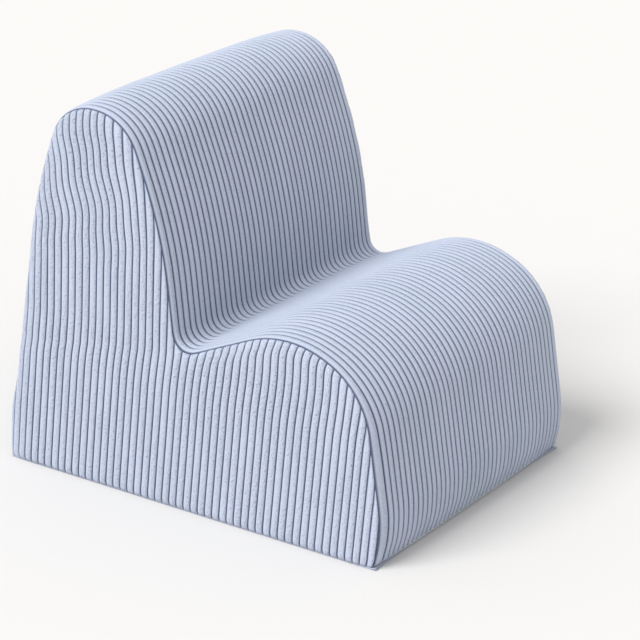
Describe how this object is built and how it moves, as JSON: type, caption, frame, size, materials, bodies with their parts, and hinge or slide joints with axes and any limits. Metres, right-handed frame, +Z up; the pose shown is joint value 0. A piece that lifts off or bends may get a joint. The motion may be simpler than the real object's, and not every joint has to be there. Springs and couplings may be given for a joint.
{
  "type": "kids armchair",
  "caption": "Low foam lounge chair for a small child, wave-shaped in side view, in a wide-ribbed cord cover that a zip at the rear foot opens.",
  "frame": {"origin": "on the floor under the middle of the chair", "axes": "+Z up, +X to the sitter's left, the sitter faces -Y"},
  "size_m": [0.45, 0.54, 0.478],
  "materials": {
    "foam": "open-cell foam, cut faces",
    "liner_cloth": "thin white polyester",
    "cord_cloth": "wide-ribbed cotton corduroy, powder blue",
    "base_cloth": "plain woven, powder blue",
    "zip_tape": "woven tape dyed to match",
    "zip_plastic": "moulded teeth dyed to match",
    "zip_metal": "nickel-plated zinc"
  },
  "bodies": {
    "chair": {"foam_seat_block": "foam", "foam_back_block": "foam", "liner_base": "liner_cloth", "liner_band": "liner_cloth", "liner_side_left": "liner_cloth", "liner_side_right": "liner_cloth", "cover_base": "base_cloth", "cover_band": "cord_cloth", "cover_rear_strip": "cord_cloth", "cover_side_left": "cord_cloth", "cover_side_right": "cord_cloth", "zip_tape_upper": "zip_tape", "zip_tape_lower": "zip_tape", "zip_teeth_upper": "zip_plastic", "zip_teeth_lower": "zip_plastic", "zip_stops": "zip_plastic"},
    "slider": {"zip_slider": "zip_metal"},
    "pull": {"zip_pull": "zip_metal"}
  },
  "joints": [
    {"name": "zip_slide", "type": "slide", "parent": "chair", "child": "slider", "axis": [1, 0, 0], "range_m": [0, 0.3532]},
    {"name": "pull_flip", "type": "hinge", "parent": "slider", "child": "pull", "pos_m": [-0.1847, 0.2681, 0.03], "axis": [0, 0, 1], "range_deg": [0, 150]}
  ]
}
